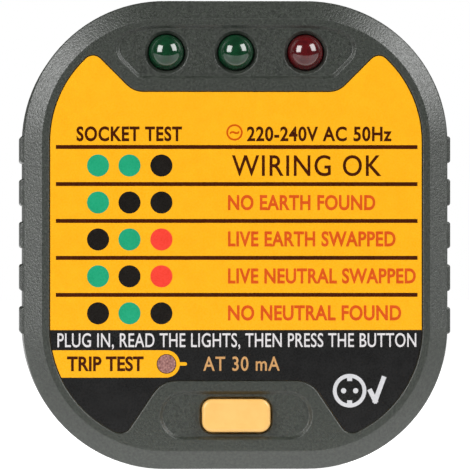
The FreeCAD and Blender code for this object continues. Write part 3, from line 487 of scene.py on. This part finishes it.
# Lettering: name, text, (left, right, baseline), height of capitals, ink, layer, weight, spacing
on_field = 2 * ink_height
on_tab = 3 * ink_height
lettering = (
    ("title_text", "SOCKET TEST",
     (-25.2, -8.56, 14.9), 2.13, brown_ink, ink_height, 0.03, 1.1),
    ("rating_text", "220-240V AC 50Hz",
     (1.72, 24.6, 14.9), 2.13, brown_ink, ink_height, 0.026, 1.08),
    ("result_1_text", "WIRING OK",
     (-0.65, 22.97, 9.37), 3.18, brown_ink, ink_height, 0.008, 1.1),
    ("result_2_text", "NO EARTH FOUND",
     (-1.28, 22.02, 4.02), 2.2, orange_ink, ink_height, 0.028, 1.05),
    ("result_3_text", "LIVE EARTH SWAPPED",
     (-1.28, 25.22, -1.72), 2.2, orange_ink, ink_height, 0.028, 1.05),
    ("result_4_text", "LIVE NEUTRAL SWAPPED",
     (-1.28, 28.42, -7.57), 2.2, orange_ink, ink_height, 0.028, 1.05),
    ("result_5_text", "NO NEUTRAL FOUND",
     (-1.28, 26.12, -13.4), 2.2, orange_ink, ink_height, 0.028, 1.05),
    ("how_to_text", "PLUG IN, READ THE LIGHTS, THEN PRESS THE BUTTON",
     (-28.2, 28.5, -17.67), 2.13, white_ink, on_field, 0.008, 1.04),
    ("tab_text", "TRIP TEST",
     (-26.7, -14.6, -21.4), 2.15, brown_ink, on_tab, 0.028, 1.0),
    ("current_text", "AT 30 mA",
     (-5.2, 6.9, -21.4), 2.15, tan_ink, on_field, 0.012, 1.1),
)
for row in lettering:
    words(*row)


def ring(name, radius, width, place, layer):
    """Thin round line."""
    bpy.ops.mesh.primitive_torus_add(major_radius=radius * MM, minor_radius=width / 2 * MM,
                                     major_segments=72, minor_segments=12,
                                     rotation=(math.pi / 2, 0, 0), location=on_label(place, 0))
    piece = bpy.context.active_object
    piece.name = name
    piece.scale.z = 2 * layer / width
    settle(piece)
    return piece


def stroke(name, start, end, width, layer):
    """Straight line between two places on the face."""
    run = Vector(end) - Vector(start)
    middle = (Vector(start) + Vector(end)) / 2
    piece = block(name, (run.length + width, width), (0, 0), layer)
    piece.rotation_euler.y = -math.atan2(run.y, run.x)
    piece.location = (middle.x * MM, 0, middle.y * MM)
    settle(piece)
    return piece


# Alternating current: a wave in a ring
wave_centre = (-0.25, 16.2)
wave_reach = 0.75
wave_drop = 0.62
wave_line = (wave_centre[0] - wave_reach, wave_centre[0] + wave_reach, wave_centre[1] - wave_drop)
publish(ring("current_ring", 1.15, 0.3, wave_centre, ink_height), rust_ink)
words("current_wave", "~", wave_line, 1.5, rust_ink, ink_height, 0.03)

# A socket seen from the front, and a tick
socket_x, socket_z = 17.95, -24.6
socket_radius = 2.35
line_width = 0.7
hole_radius = 0.42
hole_from_middle = 0.95
clip_size = (0.8, 0.55)
clip_from_middle = socket_radius - 0.55
tick_start, tick_foot, tick_end = (21.25, -24.7), (22.0, -26.2), (23.3, -22.7)
tick_width = 0.75
parts = [ring("socket_mark", socket_radius, line_width, (socket_x, socket_z), on_field)]
for side in (-1, 1):
    hole = (socket_x + side * hole_from_middle, socket_z)
    clip = (socket_x, socket_z + side * clip_from_middle)
    parts.append(disc("hole", hole_radius, hole, on_field, sides=32))
    parts.append(block("clip", clip_size, clip, on_field))
tick = stroke("tick", tick_start, tick_foot, tick_width, on_field)
rising = stroke("tick_rise", tick_foot, tick_end, tick_width, on_field)
apply_modifier(tick, "BOOLEAN", operation="UNION", object=rising, solver="EXACT")
bpy.data.objects.remove(rising)
parts.append(tick)
publish(join(parts, "socket_mark"), grey_ink)


# ---- Return spring of the switch

# It stands on the switch's floor: a copy of the model's spring with its own mesh, fixed to the
# housing in place of the hidden original.
spring = bpy.data.objects.new("return_spring", nodes["switch_spring"].data.copy())
bpy.context.scene.collection.objects.link(spring)
select_only(spring)
bpy.ops.object.mode_set(mode="EDIT")
bpy.ops.mesh.select_all(action="SELECT")
bpy.ops.mesh.remove_doubles(threshold=merge_distance)
bpy.ops.object.mode_set(mode="OBJECT")
spring.data.materials.clear()
spring.data.materials.append(spring_steel)
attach(spring, "housing")
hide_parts("switch_spring")
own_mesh(spring)


# ---- Studio

# A long lens, level with the middle of the face and a little to its left.
face_y = -46.0 * MM
frame_width = 74.33 * MM
camera_distance = 1200.0 * MM
camera_aside = 0.1 * MM
camera_yaw = math.radians(2.3)
sensor_width = 36.0
far_clip = 20

camera = bpy.data.objects.new("camera", bpy.data.cameras.new("camera"))
bpy.context.scene.collection.objects.link(camera)
camera.location = (-camera_distance * math.sin(camera_yaw) - camera_aside,
                   face_y - camera_distance * math.cos(camera_yaw), 0)
camera.rotation_euler = (math.pi / 2, 0, -camera_yaw)
camera.data.sensor_width = sensor_width
camera.data.lens = sensor_width * camera_distance / frame_width
camera.data.clip_end = far_clip
bpy.context.scene.camera = camera


def softbox(name, direction, distance, size, power):
    """Rectangular diffused lamp that faces the object, with sizes in metres and power in watts."""
    lamp = bpy.data.objects.new(name, bpy.data.lights.new(name, "AREA"))
    bpy.context.scene.collection.objects.link(lamp)
    lamp.data.shape = "RECTANGLE"
    lamp.data.size, lamp.data.size_y = size
    lamp.data.energy = power
    towards = Vector(direction).normalized()
    lamp.location = towards * distance + Vector((0, face_y, 0))
    lamp.rotation_euler = towards.to_track_quat("Z", "Y").to_euler()


softbox("left_softbox", (-0.65, -0.62, 0.40), 0.6, (0.32, 0.42), 3.6)
softbox("right_softbox", (0.72, -0.50, 0.52), 0.6, (0.32, 0.42), 3.2)
softbox("back_softbox", (0.25, 0.85, 0.5), 0.9, (0.6, 0.6), 4.0)

# Pale table of opal acrylic, lit from below. Its glow rises from dim in front of the object to full
# behind the face, so that nothing casts a shadow there. Its front edge is close to the object, and
# the domes show it as the flat top of their lower reflection.
table_front, table_back, table_half = -0.21, 3.0, 2.0
glow_rises_from, glow_full_at = -0.066, -0.049
dim_glow, full_glow = 0.27, 1.0
bpy.ops.mesh.primitive_plane_add(size=1,
                                 location=(0, (table_front + table_back) / 2, cad_box[0][2]))
table = bpy.context.active_object
table.name = "pale_table"
table.scale = (2 * table_half, table_back - table_front, 1)
settle(table)
table_top = finish("opal_acrylic_table", ("#b6b6b6", "#bababa"), 60, (0.5, 0.6), 20, 0.01,
                   **{"Emission Color": (1, 1, 1, 1)})
tree = table_top.node_tree
depth = add(tree, "SeparateXYZ", None, {"Vector": add(tree, "TexCoord").outputs["Object"]})
glow = add(tree, "MapRange",
           {"interpolation_type": "SMOOTHSTEP", "From Min": glow_rises_from,
            "From Max": glow_full_at, "To Min": dim_glow, "To Max": full_glow},
           {"Value": depth.outputs["Y"]})
tree.links.new(glow.outputs["Result"], tree.nodes["Principled BSDF"].inputs["Emission Strength"])
table.data.materials.append(table_top)

# White room: the camera sees it at full strength, and it lights the object only faintly.
white = (1, 1, 1, 1)
world = bpy.data.worlds.new("studio")
world.use_nodes = True
bpy.context.scene.world = world
room = world.node_tree
room.nodes.clear()
seen = add(room, "Background", {"Strength": 1.0, "Color": white})
around = add(room, "Background", {"Strength": 0.06, "Color": white})
path = add(room, "LightPath")
both = add(room, "MixShader", None,
           {0: path.outputs["Is Camera Ray"], 1: around.outputs[0], 2: seen.outputs[0]})
add(room, "OutputWorld", None, {"Surface": both.outputs[0]})

bpy.context.scene.view_settings.view_transform = "Standard"
